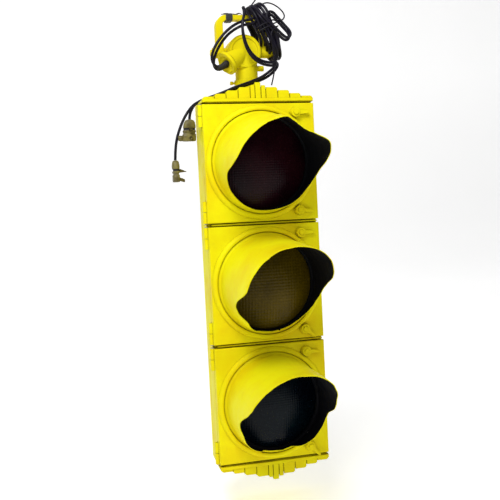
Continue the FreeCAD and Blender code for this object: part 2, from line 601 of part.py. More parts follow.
def hanger_body():
    drum = rod(V(DRUM_X, NECK_Y - DRUM_HALF, DRUM_Z), V(0, 1, 0), DRUM_R, 2 * DRUM_HALF)
    faces = [e for e in drum.Edges if e.Closed]
    drum = drum.makeFillet(3.0, faces)
    neck = rod(V(NECK_X, NECK_Y, NECK_FOOT), V(0, 0, 1), NECK_R, DRUM_Z - NECK_FOOT)
    inward = ENTRY_AXIS * -1
    collar = rod(ENTRY_MOUTH, inward, ENTRY_R, 7)
    bead = tube(V(DRUM_X, NECK_Y - DRUM_HALF - 1.5, DRUM_Z), V(0, 1, 0), DRUM_R - 3, DRUM_R - 8, 4)
    pivot = rod(V(BAIL_LEFT + BAIL_ARM + 0.5, NECK_Y, PIVOT_Z), V(1, 0, 0), BAIL_END_R,
                BAIL_RIGHT - BAIL_LEFT - 2 * BAIL_ARM - 1)
    boss = rod(V(NECK_X, NECK_Y - 8, 462), V(1, 0, 0), 6, 36)
    body = fused(drum, [neck, collar, entry_throat(ENTRY_R - 5, ENTRY_R - 5), bead, pivot, boss])
    room = rod(V(DRUM_X, NECK_Y - DRUM_HALF + DRUM_WALL, DRUM_Z), V(0, 1, 0), DRUM_R - DRUM_WALL,
               2 * (DRUM_HALF - DRUM_WALL))
    bore = rod(V(NECK_X, NECK_Y, NECK_FOOT), V(0, 0, 1), NECK_BORE_R, DRUM_Z - NECK_FOOT)
    entry = [rod(ENTRY_MOUTH, inward, ENTRY_BORE_R, 12), entry_throat(ENTRY_BORE_R - 2, ENTRY_BORE_R - 4)]
    posts = [rod(V(DRUM_X + way * 16, NECK_Y, PIVOT_Z), V(way, 0, 0), 9.5, 30) for way in (-1, 1)]
    body = body.cut([room.cut(posts), bore] + entry)
    holes = [rod(V(BAIL_LEFT, NECK_Y, PIVOT_Z), V(1, 0, 0), PIVOT_R + RUNNING, 36),
             rod(V(BAIL_RIGHT, NECK_Y, PIVOT_Z), V(-1, 0, 0), PIVOT_R + RUNNING, 36),
             rod(V(BAIL_LEFT, NECK_Y, PIVOT_Z), V(1, 0, 0), BAIL_END_R + 1.5, BAIL_ARM + 0.5)]
    return body.cut(holes)


def lock_ring():
    """The collar above the cap that stops the hanger turning."""
    ring = tube(V(NECK_X, NECK_Y, HUB_TOP), V(0, 0, 1), NECK_R + 3, NECK_R, 24)
    return ring.cut(rod(V(NECK_X, NECK_Y, HUB_TOP + 18), V(-1, 0, 0), 2.5, 40))


def set_screw():
    start = V(NECK_X - NECK_R, NECK_Y, HUB_TOP + 18)
    stem = rod(start, V(-1, 0, 0), 2.5, 12)
    return stem.fuse(rod(start + V(-8, 0, 0), V(-1, 0, 0), 4, 5))


def hanger_locknut():
    start = V(NECK_X, NECK_Y, HUB_TOP - HUB_THICK - 10)
    return hex_prism(start, V(0, 0, 1), 62, 10).cut(rod(start, V(0, 0, 1), NECK_R, 10))


def bail():
    """An upside-down U of flat bar: two arms, rounded shoulders and round ends."""
    front = NECK_Y - BAIL_HALF
    round_r = 24.0
    outer = outline([
        V(BAIL_LEFT, front, PIVOT_Z), V(BAIL_LEFT, front, BAIL_TOP - round_r),
        (V(BAIL_LEFT + 0.29 * round_r, front, BAIL_TOP - 0.29 * round_r),
         V(BAIL_LEFT + round_r, front, BAIL_TOP)),
        V(BAIL_RIGHT - round_r, front, BAIL_TOP),
        (V(BAIL_RIGHT - 0.29 * round_r, front, BAIL_TOP - 0.29 * round_r),
         V(BAIL_RIGHT, front, BAIL_TOP - round_r)),
        V(BAIL_RIGHT, front, PIVOT_Z)]).extrude(V(0, 2 * BAIL_HALF, 0))
    gap = box(BAIL_LEFT + BAIL_ARM, BAIL_RIGHT - BAIL_ARM, front - 1, front + 2 * BAIL_HALF + 1,
              PIVOT_Z - 1, BAIL_TOP - BAIL_BAR)
    corners = [e for e in gap.Edges
               if e.BoundBox.ZMin > BAIL_TOP - BAIL_BAR - 1 and e.BoundBox.YLength > 1]
    arch = outer.cut(gap.makeFillet(10.0, corners))
    ends = [rod(V(BAIL_LEFT, NECK_Y, PIVOT_Z), V(1, 0, 0), BAIL_END_R, BAIL_ARM),
            rod(V(BAIL_RIGHT, NECK_Y, PIVOT_Z), V(-1, 0, 0), BAIL_END_R, BAIL_ARM)]
    arch = fused(arch, ends)
    holes = [rod(V(BAIL_LEFT, NECK_Y, PIVOT_Z), V(1, 0, 0), PIVOT_R, BAIL_ARM),
             rod(V(BAIL_RIGHT, NECK_Y, PIVOT_Z), V(-1, 0, 0), PIVOT_R, BAIL_ARM),
             rod(BAIL_EYE + V(0, 0, -BAIL_BAR), V(0, 0, 1), BAIL_EYE_R, 2 * BAIL_BAR)]
    return arch.cut(holes)


def bail_bolts():
    bolts = []
    for x, way in ((BAIL_LEFT, 1), (BAIL_RIGHT, -1)):
        inward = V(way, 0, 0)
        start = V(x, NECK_Y, PIVOT_Z)
        head = hex_prism(start - inward * 9, inward, 20, 9)
        dome = rod(start - inward * 13, inward, 7, 4)
        bolts.append(fused(head, [dome, rod(start, inward, PIVOT_R, 32)]))
    return bolts


def bail_tape():
    """Tape wound round the bail's bar near its left shoulder."""
    front = NECK_Y - BAIL_HALF
    wrap = box(-42, -31, front - 2, front + 2 * BAIL_HALF + 2, BAIL_TOP - BAIL_BAR - 2, BAIL_TOP + 2)
    return wrap.cut(box(-42, -31, front, front + 2 * BAIL_HALF, BAIL_TOP - BAIL_BAR, BAIL_TOP))


# ---- Cords, loops and plugs ----

def cord(name, route, diameter, size):
    """A round cord of straight runs joined by tangent arcs, each as large as its runs allow."""
    points = [V(*p) for p in route]
    radii = []
    edges = []
    here = points[0]
    for before, corner, after in zip(points, points[1:], points[2:]):
        into = (corner - before).normalize()
        out = (after - corner).normalize()
        turn = into.getAngle(out)
        reach = 0.45 * min((corner - before).Length, (after - corner).Length)
        radius = reach / math.tan(turn / 2)
        radii.append(radius)
        start = corner - into * reach
        end = corner + out * reach
        middle = corner + (out - into).normalize() * (radius / math.cos(turn / 2) - radius)
        edges.append(Part.LineSegment(here, start).toShape())
        edges.append(Part.Arc(start, middle, end).toShape())
        here = end
    edges.append(Part.LineSegment(here, points[-1]).toShape())
    path = Part.Wire(edges)
    circle = Part.makeCircle(diameter / 2, points[0], points[1] - points[0])
    shape = path.makePipeShell([Part.Wire(circle)], True, False)
    ratio = shape.Volume / (math.pi * diameter ** 2 / 4 * path.Length)
    print(name, "length", round(path.Length, 1), "volume ratio", round(ratio, 4),
          "radii in", size, "mm diameters", [round(r / size, 1) for r in radii])
    return shape


def cord_bushing():
    """The rubber plug in the hanger's cord entry, with a hole for each cord."""
    plug = rod(ENTRY_MOUTH - ENTRY_AXIS * 10, ENTRY_AXIS, ENTRY_BORE_R, 12)
    plug = plug.fuse(rod(ENTRY_MOUTH + ENTRY_AXIS * 2, ENTRY_AXIS, 12, 5))
    return plug


def cord_hank():
    """The outer shape of the hank: a racetrack band that hangs over the bail's shoulder."""
    inner = HANK_ROUND - HANK_THICK
    low = HANK_LENGTH - HANK_ROUND
    rings = []
    for radius in (HANK_ROUND, inner):
        rings.append(outline([
            V(-HANK_BAND / 2, -radius, -HANK_ROUND),
            (V(-HANK_BAND / 2, 0, radius - HANK_ROUND), V(-HANK_BAND / 2, radius, -HANK_ROUND)),
            V(-HANK_BAND / 2, radius, -low),
            (V(-HANK_BAND / 2, 0, -low - radius), V(-HANK_BAND / 2, -radius, -low)),
        ]).extrude(V(HANK_BAND, 0, 0)))
    band = rings[0].cut(rings[1])
    band.rotate(V(0, 0, 0), V(0, 1, 0), -math.degrees(HANK_LEAN))
    band.translate(HANK_TOP)
    return band


def plug_body():
    """A flat plug body that hangs from its cord: collar, domed top, straight sides, two ears."""
    half = PLUG_WIDTH / 2
    front = -PLUG_THICK / 2
    face = outline([V(-half * 0.5, front, -7), (V(0, front, -4), V(half * 0.5, front, -7)),
                    V(half, front, -19), V(half, front, -PLUG_HEIGHT), V(-half, front, -PLUG_HEIGHT),
                    V(-half, front, -19)])
    body = face.extrude(V(0, PLUG_THICK, 0))
    collar = rod(V(0, 0, 0), V(0, 0, -1), 5, 8)
    ears = [rod(V(way * (half - 2), -3, 5 - PLUG_HEIGHT), V(0, 1, 0), 4.5, 6) for way in (-1, 1)]
    return fused(body, [collar] + ears)


def plug_blades():
    """Two prongs that stand out of the plug's face: a thin pointed one and a round one."""
    front = -PLUG_THICK / 2
    upper = outline([V(-4, front, -22), V(4, front, -22), V(2, front - 20, -22),
                     V(-2, front - 20, -22)]).extrude(V(0, 0, -3))
    lower = rod(V(0, front, -40), V(0, -1, 0), 3.5, 20)
    return [upper, lower]


def hung(shape, top, facing):
    """Turn a plug part about the vertical and hang it from a point."""
    moved = shape.copy()
    moved.rotate(V(0, 0, 0), V(0, 0, 1), facing)
    moved.translate(top)
    return moved


def signal_leads():
    """The insulated leads inside: one to each lamp holder, and two up the neck."""
    routes = {
        "lead to top lamp": [(-86, 70, 361), (-84, 76, 349), (-74, 90, 331), (-56, 106, 308),
                             (-38, 118, 286), (-17, 121, 262)],
        "lead to middle lamp": [(-68, 70, 361), (-66, 82, 350), (-46, 98, 342), (-18, 108, 330),
                                (14, 112, 300), (34, 113, 265), (33, 113, 225), (21, 108, 180),
                                (8, 97, 128), (18, 106, 85), (28, 117, 45), (17, 121, 8)],
        "lead to bottom lamp": [(-77, 70, 361), (-76, 82, 348), (-62, 98, 333), (-44, 108, 310),
                                (-34, 113, 280), (-37, 112, 250), (-34, 111, 212), (-20, 105, 170),
                                (-6, 96, 126), (-16, 104, 85), (-33, 112, 40), (-38, 112, -10),
                                (-27, 107, -62), (-9, 97, -127), (4, 103, -168), (24, 113, -208),
                                (17, 121, -246)],
        "neck lead 1": [(-50, 70, 361), (-42, 68, 352), (-24, 70, 353), (-10, 75, 368),
                        (-6, 78, 400), (-7, 80, 440), (-11, 79, 470)],
        "neck lead 2": [(-59, 70, 361), (-54, 63, 349), (-34, 59, 344), (-12, 64, 356),
                        (2, 72, 382), (4, 78, 415), (1, 79, 445), (-3, 79, 470)],
    }
    return [cord(name, route, 3.0, 3.0) for name, route in routes.items()]


# ---- Assembly ----

def add(node, *pieces):
    solids = [solid for piece in pieces for solid in piece.Solids]
    SHAPES[node] = Part.makeCompound(solids) if len(solids) > 1 else solids[0]


def build_sections():
    for name, z in SECTIONS.items():
        add("housing_" + name, housing(z))
        add("door_" + name, door(z))
        add("visor_" + name, visor(z))
        add("lens_" + name, lens(z))
        add("door_seals_" + name, *door_seals(z))
        add("lens_clips_" + name, *lens_clips(z))
        add("door_screws_" + name, *door_screws(z))
        for level, end in (("upper", 1), ("lower", -1)):
            place = name + "_" + level
            add("latch_" + place, *latch(z, end, LATCH_ANGLES[place]))


def build_inside():
    heights = list(SECTIONS.values())
    joints = [section_joint(z) for z in (PITCH / 2, -PITCH / 2)]
    add("section_bolts", *[b for bolts, nuts in joints for b in bolts], *cap_bolts())
    add("section_nuts", *[n for bolts, nuts in joints for n in nuts])
    add("wire_grommets", wire_grommet(PITCH / 2), wire_grommet(-PITCH / 2))
    add("hinge_pins", *[pin for z in heights for pin in hinge_pins(z)])
    add("reflectors", *[reflector(z) for z in heights])
    add("reflector_clips", *[clip for z in heights for clip in reflector_clips(z)])
    add("inner_screws", *[s for z in heights for s in inner_screws(z)], *terminal_screws())
    add("lamp_sockets", *[socket(z) for z in heights])
    add("lamps", *[lamp(z) for z in heights])
    add("terminal_block", terminal_block())
    add("signal_leads", *signal_leads())


def build_ends():
    cap = end_cap()
    add("top_end_cap", cap)
    add("bottom_end_cap", cap.mirror(V(0, 0, 0), V(0, 0, 1)))
    add("bottom_hub_plug", hub_plug())
    add("hanger_body", hanger_body())
    add("lock_ring", lock_ring())
    add("set_screw", set_screw())
    add("hanger_locknut", hanger_locknut())
    add("hanger_bail", bail())
    add("bail_bolts", *bail_bolts())
    add("bail_tape", bail_tape())


def build_cords():
    add("cord_bushing", cord_bushing())
    add("cord_1_lead", cord("cord_1_lead", LEAD_1, CORD_D, CORD_D))
    add("cord_2_lead", cord("cord_2_lead", LEAD_2, CORD_D, CORD_D))
    add("cord_hank", cord_hank())
    add("cord_front_loop", cord("cord_front_loop", FRONT_LOOP, FRONT_LOOP_D, CORD_D))
    add("cord_side_loop", cord("cord_side_loop", SIDE_LOOP, SIDE_LOOP_D, CORD_D))
    add("cord_1_tail", cord("cord_1_tail", TAIL_1, CORD_D, CORD_D))
    add("cord_2_tail", cord("cord_2_tail", TAIL_2, CORD_D, CORD_D))
    add("tie_wire", cord("tie wire loop", WIRE_LOOP, WIRE_D, WIRE_D),
        cord("tie wire drop", WIRE_DROP, WIRE_D, WIRE_D))
    body = plug_body()
    blades = plug_blades()
    add("plug_1", hung(body, PLUG_1_TOP, 0))
    add("plug_2", hung(body, PLUG_2_TOP, 90))
    add("plug_blades", *[hung(b, PLUG_1_TOP, 0) for b in blades],
        *[hung(b, PLUG_2_TOP, 90) for b in blades])


os.makedirs("parts", exist_ok=True)
build_sections()
build_inside()
build_ends()
build_cords()
for node, shape in SHAPES.items():
    moved = shape.copy()
    moved.translate(BAIL_EYE * -1)
    moved.exportStep("parts/" + node + ".step")
print(len(SHAPES), "nodes")
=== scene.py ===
import math
import random

import bpy
from mathutils import Matrix, Vector, noise


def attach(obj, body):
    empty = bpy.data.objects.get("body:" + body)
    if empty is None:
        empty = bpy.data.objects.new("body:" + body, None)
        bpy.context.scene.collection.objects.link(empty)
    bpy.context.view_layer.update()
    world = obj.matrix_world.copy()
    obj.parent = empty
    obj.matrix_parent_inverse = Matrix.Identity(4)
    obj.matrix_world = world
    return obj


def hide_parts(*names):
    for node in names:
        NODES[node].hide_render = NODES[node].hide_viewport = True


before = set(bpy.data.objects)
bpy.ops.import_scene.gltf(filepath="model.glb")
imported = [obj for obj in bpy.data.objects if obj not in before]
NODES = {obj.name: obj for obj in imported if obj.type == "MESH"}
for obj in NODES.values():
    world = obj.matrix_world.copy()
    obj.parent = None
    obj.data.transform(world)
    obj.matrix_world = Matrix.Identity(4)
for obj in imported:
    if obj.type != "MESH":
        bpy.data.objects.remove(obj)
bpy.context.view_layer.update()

# The CAD's working axes have their origin at the middle door's front face, in millimetres.
# The row's origin is the centre of the bail's bolt hole, at this place in them.
EYE = Vector((-14.0, 80.0, 571.75))
SECTIONS = {"top": 254.0, "middle": 0.0, "bottom": -254.0}

# Camera: its lens, where it stands, and which ways are right and back for it
CAMERA_LENS = 57.6
CAMERA_PLACE = (-456.6, -1621.7, 151.4)
CAMERA_RIGHT = Vector((0.9660, -0.2539, -0.0489)).normalized()
CAMERA_BACK = Vector((-0.2517, -0.9667, 0.0474))

# Cords and tie wire, in metres across
CORD_D = 0.006
WIRE_D = 0.003

# The hank: a bundle of long turns over the bail's bar, leaning to the right
HANK_TOP = Vector((14.0, 80.0, 599.0))
HANK_LEAN = math.radians(22.0)
HANK_BEND = 36.5
HANK_STRAIGHT = 57.0
# How much shorter the hank's left-hand turns are
HANK_FOLD = 32.0
# Radii of its turns: those inside, those round them, and the one on top
INNER = 27.5
OUTER = 34.0
TOPMOST = 38.5

# Each plug: where its cord comes in at the top, and its turn about the vertical in degrees
PLUG_TOPS = {"plug_1": ((-134.8, 73.0, 355.0), 0.0), "plug_2": ((-169.5, 76.0, 269.0), 90.0)}
PLUG_COLUMNS = 48
# Heights of the dark groove round a plug's grip
GROOVE = (-23.0, -18.0)

# Visors: radius at the foot, depth, sheet thickness in metres, where the flare at the foot ends,
# and how many points go round and along the mesh
VISOR_BASE_R = 102.5
VISOR_DEPTH = 190.0
VISOR_SHEET = 0.0015
VISOR_FOOT = 10.5
VISOR_COLUMNS = 360
VISOR_ROWS = 56
# The foot's flare over the door's bezel, as radius and how far behind the door's face
VISOR_FLARE = [(98.7, 4.6), (98.7, -1.0), (102.0, -1.3), (107.8, -0.9), (107.9, -3.2), (106.6, -5.0),
               (104.6, -6.2), (103.1, -8.2)]

# Lenses: radius of the domed front, how far behind the door's face its middle is, how much further
# back its edge is, the rim and back as radius and distance behind the face, and the mesh's points
LENS_R = 99.0
LENS_MIDDLE = -13.2
LENS_RISE = 19.0
LENS_RIM = [(99.4, 5.9), (106.0, 6.0), (106.0, 10.0), (98.0, 10.0), (70.0, 2.0), (40.0, -5.4),
            (4.0, -9.6)]
LENS_COLUMNS = 560
LENS_ROWS = 92

# The bail's bar, which the tape is wound round
BAR_Y = 80.0
BAR_Z = 571.8

# The stage: the floor's height in metres, and its colours
FLOOR_Z = -1.06
PALE = (0.93, 0.93, 0.93)
WHITE = (1.0, 1.0, 1.0, 1.0)

# Each visor's rim, as angle from the right, anticlockwise, and its distance from the lens axis.
RIMS = {
    "top": [(0, 89), (8, 89), (13, 88), (18, 86), (31, 71.5), (45, 62.5), (56, 60), (68, 62),
            (79, 67), (88, 73), (95, 73), (107, 72), (126, 74), (144, 78), (162, 87), (177, 97),
            (195, 101), (240, 102), (270, 97), (340, 92)],
    "middle": [(0, 86), (10, 86), (23, 87), (34, 92), (46, 92), (58, 90), (75, 85), (94, 81),
               (111, 81), (128, 80), (151, 84), (170, 91), (190, 99), (240, 102), (270, 97),
               (335, 88)],
    "bottom": [(0, 88), (16, 90), (36, 93), (44, 97), (54, 97), (67, 95), (81, 91), (95, 90),
               (110, 89), (127, 90), (144, 94), (158, 100), (180, 102), (240, 102), (270, 97),
               (340, 90)]}
# Each visor's cut edge, as angle and how far the sheet reaches out from the door there.
CUTS = {
    "top": [(15, 190), (9, 184), (1, 170), (-7, 138), (-14, 97), (-25, 70), (-39, 51), (-55, 53),
            (-68, 57), (-76, 46), (-90, 26), (-103, 18), (-115, 30), (-130, 44), (-146, 56),
            (-160, 79), (-168, 103), (-173, 148), (-179, 178), (-184, 190)],
    "middle": [(24, 190), (18, 182), (10, 161), (3, 126), (-6, 84), (-23, 48), (-36, 32),
               (-49, 18), (-59, 12), (-82, 11), (-90, 14), (-98, 11), (-106, 15), (-110, 34),
               (-124, 78), (-141, 124), (-151, 94), (-161, 98), (-168, 122), (-175, 165),
               (-181, 190)],
    "bottom": [(35, 190), (27, 174), (16, 150), (0, 120), (-9, 78), (-16, 67), (-33, 60), (-46, 56),
               (-57, 48), (-66, 34), (-70, 14), (-79, 12), (-83, 19), (-87, 12), (-107, 12),
               (-112, 32), (-135, 66), (-152, 102), (-160, 116), (-168, 105), (-175, 109),
               (-182, 131), (-190, 165), (-200, 190)]}

# The cords' leads, from the hanger's wiring entry up to the hank
LEAD_1 = [(-59.0, 49.2, 465.9), (-67.5, 47.0, 461.0), (-77.5, 44.5, 461.5), (-85.0, 42.0, 469.5),
          (-87.0, 39.5, 481.0), (-84.0, 37.0, 492.0), (-77.0, 35.0, 506.5), (-66.0, 34.5, 520.5),
          (-53.5, 35.5, 534.0), (-36.0, 39.0, 547.5), (-18.0, 44.0, 556.5), (2.0, 48.5, 562.0)]
LEAD_2 = [(-59.0, 56.2, 463.5), (-66.5, 55.2, 457.5), (-76.0, 53.5, 457.5), (-81.0, 51.0, 466.5),
          (-80.0, 47.5, 479.0), (-75.0, 44.5, 492.5), (-67.5, 43.5, 506.0), (-57.5, 43.0, 519.0),
          (-46.5, 43.0, 530.5), (-30.5, 44.5, 541.5), (-14.0, 46.5, 549.5), (5.5, 49.0, 553.5)]
# Their tails, from the foot of the hank over the top cap and down to the plugs
TAIL_1 = [(64.0, 77.0, 478.0), (60.5, 60.0, 471.0), (54.5, 49.5, 464.0), (46.5, 45.5, 456.0),
          (36.5, 43.5, 448.5), (22.0, 41.0, 439.0), (3.0, 38.0, 431.0), (-18.0, 35.0, 423.5),
          (-40.0, 33.5, 416.8), (-62.0, 36.5, 408.0), (-82.0, 42.0, 401.0), (-100.0, 50.0, 396.0),
          (-114.0, 59.5, 391.5), (-124.0, 66.5, 385.0), (-129.0, 70.0, 376.5),
          (-133.8, 72.5, 366.0), (-134.8, 73.0, 355.4)]
TAIL_2 = [(68.0, 78.0, 476.0), (65.0, 63.0, 469.0), (60.0, 54.5, 461.0), (52.5, 51.0, 453.0),
          (43.0, 49.5, 445.0), (27.5, 48.0, 435.5), (7.0, 45.0, 428.5), (-14.5, 42.0, 421.5),
          (-36.5, 41.0, 414.5), (-58.5, 44.0, 407.5), (-79.0, 50.0, 401.0), (-97.5, 58.5, 396.5),
          (-112.5, 67.0, 392.0), (-124.5, 73.5, 386.0), (-136.0, 77.0, 373.0),
          (-147.5, 77.5, 355.0), (-156.5, 77.5, 335.5), (-163.5, 77.0, 315.5),
          (-168.0, 76.5, 293.0), (-169.5, 76.0, 269.4)]
# The front loop, from the foot of the hank round to its left shoulder.
FRONT_LOOP = [(54.0, 74.0, 482.0), (57.0, 58.0, 472.5), (50.0, 46.0, 467.0), (36.0, 39.0, 466.0),
              (16.0, 36.5, 470.5), (-1.5, 35.0, 484.0), (-13.0, 33.0, 504.0),
              (-18.5, 32.0, 527.5), (-19.0, 32.5, 550.0)]
# The side loop: over a crest at the hank's top, out to the right, round its tip and back in.
SIDE_LOOP = [(41.0, 41.0, 557.0), (38.5, 42.0, 566.0), (40.5, 43.5, 573.0), (46.5, 44.5, 577.0),
             (54.0, 44.5, 575.0), (61.5, 44.0, 566.5), (71.0, 42.5, 555.0), (80.5, 40.5, 543.5),
             (88.0, 39.0, 534.5), (89.5, 38.5, 526.0), (84.0, 38.0, 519.5), (75.5, 37.5, 521.5),
             (66.5, 37.0, 529.5), (57.0, 36.5, 538.5), (45.5, 36.5, 549.0), (33.5, 37.5, 560.5),
             (24.0, 39.5, 572.0)]
# The tie wire's free end, its loop out to the right, and the end that hangs from the hank's foot
WIRE_END = [(27.5, 62.0, 617.0), (22.5, 64.0, 609.0), (16.0, 66.0, 601.0), (10.0, 67.5, 593.5),
            (12.5, 69.5, 586.5), (22.0, 69.5, 588.0), (31.0, 67.5, 596.0)]
WIRE_LOOP = [(38.5, 66.0, 601.0), (49.0, 59.5, 602.0), (63.5, 54.0, 594.5), (75.5, 50.0, 583.0),
             (82.0, 49.0, 571.0), (77.0, 50.0, 562.5), (67.0, 51.0, 560.0), (59.5, 43.0, 558.5)]
WIRE_DROP = [(51.0, 36.5, 469.5), (49.5, 36.5, 455.0), (46.0, 36.5, 439.0), (41.0, 37.5, 420.5)]


def at(x, y, z):
    """A point of the working axes, in millimetres, as a point of the row frame, in metres."""
    return (Vector((x, y, z)) - EYE) * 0.001


# ---- Camera ----

def make_camera():
    """The camera, in front and to the left, level with the lower part of the top section."""
    data = bpy.data.cameras.new("camera")
    data.lens = CAMERA_LENS
    data.sensor_width = 36.0
    data.clip_start = 0.05
    camera = bpy.data.objects.new("camera", data)
    back = (CAMERA_BACK - CAMERA_RIGHT * CAMERA_BACK.dot(CAMERA_RIGHT)).normalized()
    up = back.cross(CAMERA_RIGHT)
    turn = Matrix((CAMERA_RIGHT, up, back)).transposed()
    camera.matrix_world = Matrix.Translation(at(*CAMERA_PLACE)) @ turn.to_4x4()
    bpy.context.scene.collection.objects.link(camera)
    bpy.context.scene.camera = camera


# ---- Meshes ----

def circle(count):
    """The angles of points spaced evenly round a circle."""
    return [2.0 * math.pi * i / count for i in range(count)]


def round_ring(r, y, centre_z, count):
    """A circle round a lens's axis, y behind the door's face."""
    return [at(r * math.cos(a), y, centre_z + r * math.sin(a)) for a in circle(count)]


def new_piece(name, verts, faces, materials, body):
    """A smooth mesh piece that rides on a body and has a slot."""
    mesh = bpy.data.meshes.new(name)
    mesh.from_pydata([tuple(v) for v in verts], [], faces)
    mesh.update()
    for polygon in mesh.polygons:
        polygon.use_smooth = True
    for made in materials:
        mesh.materials.append(made)
    piece = bpy.data.objects.new(name, mesh)
    bpy.context.scene.collection.objects.link(piece)
    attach(piece, body)
    return piece


def quads(rows, columns, wrap):
    """Faces over a grid of rows by columns points; wrap closes each row into a ring."""
    faces = []
    for r in range(rows - 1):
        for c in range(columns if wrap else columns - 1):
            n = (c + 1) % columns
            low = r * columns
            high = low + columns
            faces.append((low + c, low + n, high + n, high + c))
    return faces


def capped(rows):
    """A closed skin over rings of points, with a fan of triangles at each end."""
    columns = len(rows[0])
    verts = [point for row in rows for point in row]
    faces = quads(len(rows), columns, True)
    for row, first in ((rows[0], 0), (rows[-1], len(verts) - columns)):
        verts.append(sum(row, Vector()) / columns)
        middle = len(verts) - 1
        for c in range(columns):
            ring = (first + c, first + (c + 1) % columns, middle)
            faces.append(ring[::-1] if first == 0 else ring)
    return verts, faces


def with_part(verts, faces, rings):
    """The mesh with one more closed skin beside it."""
    more, skin = capped(rings)
    return verts + more, faces + [tuple(i + len(verts) for i in face) for face in skin]


# ---- Cords ----

def nurbs(name, points, diameter, material, body):
    """An open NURBS curve with these control points, swept to a round cord."""
    data = bpy.data.curves.new(name, "CURVE")
    data.dimensions = "3D"
    data.bevel_depth = diameter / 2
    data.bevel_resolution = 4
    data.resolution_u = 8
    data.use_fill_caps = True
    spline = data.splines.new("NURBS")
    spline.points.add(len(points) - 1)
    for point, place in zip(spline.points, points):
        point.co = (*at(*place), 1.0)
    spline.order_u = 3
    spline.use_endpoint_u = True
    data.materials.append(material)
    cord = bpy.data.objects.new(name, data)
    bpy.context.scene.collection.objects.link(cord)
    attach(cord, body)
    return cord


def line_of(curve):
    """The points of a curve's own line."""
    bare = curve.data.copy()
    bare.bevel_depth = 0
    holder = bpy.data.objects.new("line", bare)
    mesh = bpy.data.meshes.new_from_object(holder)
    points = [v.co.copy() for v in mesh.vertices]
    bpy.data.objects.remove(holder)
    bpy.data.meshes.remove(mesh)
    return points


def length_of(curve):
    """How long a curve's own line is, in metres."""
    points = line_of(curve)
    return sum((b - a).length for a, b in zip(points, points[1:]))


def hank(u, v, w):
    """A point of the hank: u across it, v behind its middle, w down from its top."""
    x = HANK_TOP.x + u * math.cos(HANK_LEAN) + w * math.sin(HANK_LEAN)
    z = HANK_TOP.z + u * math.sin(HANK_LEAN) - w * math.cos(HANK_LEAN)
    return (x, HANK_TOP.y + v, z)


def turn_of_hank(u0, u1, radius, draw):
    """One turn: over the top from the front, down the back, round the foot and up the front.

    It moves across the hank from u0 to u1. Each bend has four control points of a half circle, and
    turns to the left have their feet higher.
    """
    out = radius / math.cos(math.radians(22.5))
    folded = max(0.0, min(1.0, (6.0 - (u0 + u1) / 2) / 20.0))
    foot = HANK_BEND + HANK_STRAIGHT - HANK_FOLD * folded + draw.uniform(-3.0, 3.0)
    bends = [math.radians(22.5 + 45.0 * i) for i in range(4)]
    stations = [(-out * math.cos(a), HANK_BEND - out * math.sin(a)) for a in bends]
    straight = foot - HANK_BEND
    stations += [(radius, HANK_BEND + 0.3 * straight), (radius + 1, foot - 0.3 * straight)]
    stations += [(out * math.cos(a), foot + out * math.sin(a)) for a in bends]
    stations += [(-radius - 1, foot - 0.3 * straight), (-radius, HANK_BEND + 0.27 * straight)]
    points = []
    for i, (v, w) in enumerate(stations):
        share = i / (len(stations) - 1)
        spread = 1.0 + 0.12 * math.sin(math.pi * max(0.0, w) / 130.0)
        u = (u0 + (u1 - u0) * share) * spread + draw.uniform(-0.8, 0.8)
        points.append(hank(u, v + draw.uniform(-0.4, 0.4), w + draw.uniform(-0.8, 0.8)))
    return points


def shifted(points, dx, dy, dz):
    """The points, all moved by the same step."""
    return [(x + dx, y + dy, z + dz) for x, y, z in points]


def cord_route(lead, tail, start, loop_shift, side_shift, seed):
    """The lead, the hank's inner and outer turns, its two loose loops, and the tail."""
    draw = random.Random(seed)
    points = list(lead)
    points += shifted([(11.5, 2.0, 4.0), (15.5, 4.5, 12.5)], *lead[-1])
    points += turn_of_hank(start + 10, start, INNER, draw)[1:]
    points += turn_of_hank(start, start + 14, INNER, draw)
    points += turn_of_hank(start + 14, start + 28, INNER + 1.0, draw)
    points += turn_of_hank(start + 28, start + 21, OUTER, draw)
    points += turn_of_hank(start + 21, start + 8, OUTER, draw)
    points += turn_of_hank(start + 8, start + 10, OUTER, draw)[:8]
    points += shifted(FRONT_LOOP, *loop_shift)
    side = start * 0.25
    points += [hank(-26 + side, -38, 12), hank(-22 + side, -27, -1)]
    points += turn_of_hank(-14 + side, 22 + side, TOPMOST, draw)[2:11]
    points += shifted(SIDE_LOOP, *side_shift)
    points += turn_of_hank(side, 15 + side, OUTER + 1.0, draw)[1:8]
    points += tail
    return points


def wire_route():
    """The tie wire: its free end, its loose loop, two wraps round the front runs, and its drop."""
    points = WIRE_END + WIRE_LOOP
    for i in range(25):
        angle = math.radians(-50.0 - 30.0 * i)
        u = 3.0 + 25.0 * math.cos(angle)
        v = -34.0 + 12.5 * math.sin(angle)
        points.append(hank(u, v, 50.0 + 0.7 * i))
    points += [hank(8.0, -47.0, 70.0), hank(1.0, -47.5, 77.0), hank(-4.0, -47.5, 92.0),
               hank(-9.0, -46.0, 110.0)]
    points += WIRE_DROP
    return points


